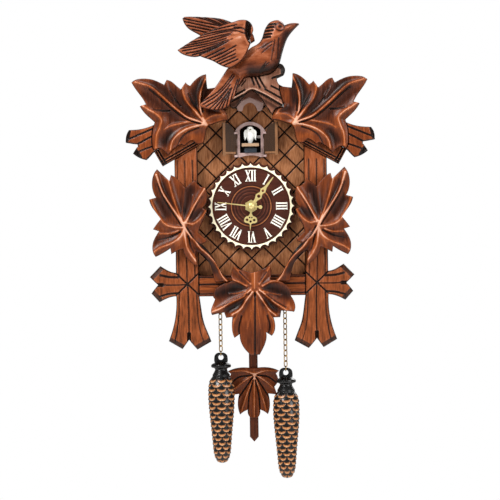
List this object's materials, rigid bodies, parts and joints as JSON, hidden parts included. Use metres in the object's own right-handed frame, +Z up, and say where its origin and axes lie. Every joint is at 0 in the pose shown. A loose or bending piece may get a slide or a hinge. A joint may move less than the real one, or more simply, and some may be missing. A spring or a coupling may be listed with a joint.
{
  "type": "cuckoo clock",
  "caption": "Carved wall cuckoo clock with leaves, bird, dial, small doors, leaf pendulum and pine-cone weights on chains.",
  "frame": {"origin": "centre of the hanging hole in the plate at the top of the back, on the wall plane", "axes": "+Y into the wall along the hanging hole, +Z up, +X to the right of someone facing the clock"},
  "size_m": [0.2492, 0.126, 0.4685],
  "materials": {
    "black_plastic": "matte black moulding",
    "brass": "antique brass, drawn wire",
    "carved_wood": "stained reddish brown, satin lacquer",
    "case_wood": "dark stain, satin",
    "cell": "printed-free plain sleeve",
    "chassis_plastic": "dark blue-grey moulding",
    "circuit": "green solder resist",
    "clear_grey_plastic": "natural moulding",
    "copper": "enamelled winding",
    "dial_ivory": "cream plastic, slight gloss",
    "dial_wood": "dark purple-brown lacquer, turned rings",
    "frame_wood": "stained brown, satin lacquer",
    "hand_gold": "lacquered brass",
    "panel_wood": "oiled, lattice grooves in black",
    "steel": "zinc plated",
    "weight_resin": "black with copper rubbed scales",
    "white_plastic": "white moulding"
  },
  "bodies": {
    "root": {"case_sides": "case_wood", "case_floor": "case_wood", "back_panel": "case_wood", "front_panel": "panel_wood", "roof_boards": "case_wood", "hanger_plate": "steel", "back_panel_screws": "steel", "eave_boards": "frame_wood", "gable_trim": "frame_wood", "post_left": "frame_wood", "post_right": "frame_wood", "cross_rail": "frame_wood", "crown_block": "frame_wood", "top_bird": "carved_wood", "top_bird_wing_front": "carved_wood", "top_bird_wing_back": "carved_wood", "corner_leaf_left": "carved_wood", "corner_leaf_right": "carved_wood", "twigs": "carved_wood", "side_leaf_left": "carved_wood", "side_leaf_right": "carved_wood", "centre_leaf": "carved_wood", "dial_disc": "dial_wood", "dial_ring": "dial_ivory", "movement_case": "black_plastic", "movement_cover": "black_plastic", "bush_nut": "hand_gold", "stepper_coil": "copper", "circuit_board": "circuit", "battery_tray": "black_plastic", "batteries": "cell", "speaker": "steel", "door_surround": "frame_wood", "cuckoo_chassis": "chassis_plastic", "cuckoo_motor": "steel", "pendulum_hanger": "steel", "chain_staples": "brass"},
    "seconds": {"seconds_wheel": "white_plastic", "second_hand": "hand_gold"},
    "minutes": {"minute_wheel": "white_plastic", "minute_hand": "hand_gold"},
    "hours": {"hour_wheel": "white_plastic", "hour_hand": "hand_gold"},
    "rotor": {"rotor": "steel"},
    "intermediate_wheel": {"intermediate_wheel": "white_plastic"},
    "third_wheel": {"third_wheel": "white_plastic"},
    "setting_knob": {"setting_knob": "black_plastic"},
    "cuckoo": {"cuckoo_slide": "frame_wood", "cuckoo_bird": "white_plastic"},
    "motor_pinion": {"motor_pinion": "clear_grey_plastic"},
    "door_left": {"door_left": "frame_wood"},
    "door_right": {"door_right": "frame_wood"},
    "pendulum": {"pendulum_stick": "case_wood", "pendulum_leaf": "carved_wood"},
    "chain_left": {"chain_left": "brass"},
    "chain_right": {"chain_right": "brass"},
    "weight_left": {"weight_left": "weight_resin"},
    "weight_right": {"weight_right": "weight_resin"},
    "battery_lid": {"battery_lid": "black_plastic"},
    "mode_switch": {"mode_switch": "black_plastic"}
  },
  "joints": [
    {"name": "seconds_turn", "type": "hinge", "parent": "root", "child": "seconds", "pos_m": [0, 0, -0.1], "axis": [0, 1, 0], "continuous": true},
    {"name": "minutes_turn", "type": "hinge", "parent": "root", "child": "minutes", "pos_m": [0, 0, -0.1], "axis": [0, 1, 0], "continuous": true},
    {"name": "hours_turn", "type": "hinge", "parent": "root", "child": "hours", "pos_m": [0, 0, -0.1], "axis": [0, 1, 0], "continuous": true},
    {"name": "rotor_turn", "type": "hinge", "parent": "root", "child": "rotor", "pos_m": [0.0112, 0, -0.112], "axis": [0, 1, 0], "continuous": true},
    {"name": "intermediate_turn", "type": "hinge", "parent": "root", "child": "intermediate_wheel", "pos_m": [0, 0, -0.112], "axis": [0, 1, 0], "continuous": true},
    {"name": "third_wheel_turn", "type": "hinge", "parent": "root", "child": "third_wheel", "pos_m": [0, 0, -0.088], "axis": [0, 1, 0], "continuous": true},
    {"name": "setting_knob_turn", "type": "hinge", "parent": "root", "child": "setting_knob", "pos_m": [0.013, 0, -0.1], "axis": [0, 1, 0], "continuous": true},
    {"name": "cuckoo_slide_in", "type": "slide", "parent": "root", "child": "cuckoo", "axis": [0, 1, 0], "range_m": [0, 0.024]},
    {"name": "motor_pinion_turn", "type": "hinge", "parent": "root", "child": "motor_pinion", "pos_m": [0.0095, -0.058, -0.045], "axis": [0, 0, 1], "range_deg": [-460, 0]},
    {"name": "door_left_close", "type": "hinge", "parent": "root", "child": "door_left", "pos_m": [-0.0146, -0.0852, -0.036], "axis": [0, 0, 1], "range_deg": [0, 160]},
    {"name": "door_right_close", "type": "hinge", "parent": "root", "child": "door_right", "pos_m": [0.0146, -0.0852, -0.036], "axis": [0, 0, -1], "range_deg": [0, 160]},
    {"name": "pendulum_swing", "type": "hinge", "parent": "root", "child": "pendulum", "pos_m": [0, -0.038, -0.16], "axis": [0, 1, 0], "range_deg": [-10, 10]},
    {"name": "chain_left_swing", "type": "hinge", "parent": "root", "child": "chain_left", "pos_m": [-0.033, -0.062, -0.1903], "axis": [0, 1, 0], "range_deg": [-10, 10]},
    {"name": "chain_right_swing", "type": "hinge", "parent": "root", "child": "chain_right", "pos_m": [0.033, -0.062, -0.1903], "axis": [0, 1, 0], "range_deg": [-10, 10]},
    {"name": "weight_left_swing", "type": "hinge", "parent": "chain_left", "child": "weight_left", "pos_m": [-0.033, -0.062, -0.25319], "axis": [0, 1, 0], "range_deg": [-15, 15]},
    {"name": "weight_right_swing", "type": "hinge", "parent": "chain_right", "child": "weight_right", "pos_m": [0.033, -0.062, -0.26954], "axis": [0, 1, 0], "range_deg": [-15, 15]},
    {"name": "battery_lid_pull", "type": "slide", "parent": "root", "child": "battery_lid", "axis": [0, 1, 0], "range_m": [0, 0.015]},
    {"name": "mode_switch_slide", "type": "slide", "parent": "root", "child": "mode_switch", "axis": [1, 0, 0], "range_m": [-0.004, 0.004]}
  ],
  "couplings": [
    {"joint": "minutes_turn", "follows": "seconds_turn", "ratio": 0.016667},
    {"joint": "hours_turn", "follows": "seconds_turn", "ratio": 0.0013889},
    {"joint": "third_wheel_turn", "follows": "seconds_turn", "ratio": -0.13333},
    {"joint": "setting_knob_turn", "follows": "seconds_turn", "ratio": -0.0055556},
    {"joint": "intermediate_turn", "follows": "seconds_turn", "ratio": -5},
    {"joint": "rotor_turn", "follows": "seconds_turn", "ratio": 30},
    {"joint": "motor_pinion_turn", "follows": "cuckoo_slide_in", "rad_per_m": -333.33},
    {"joint": "door_left_close", "follows": "cuckoo_slide_in", "rad_per_m": 116.36},
    {"joint": "door_right_close", "follows": "cuckoo_slide_in", "rad_per_m": 116.36}
  ]
}
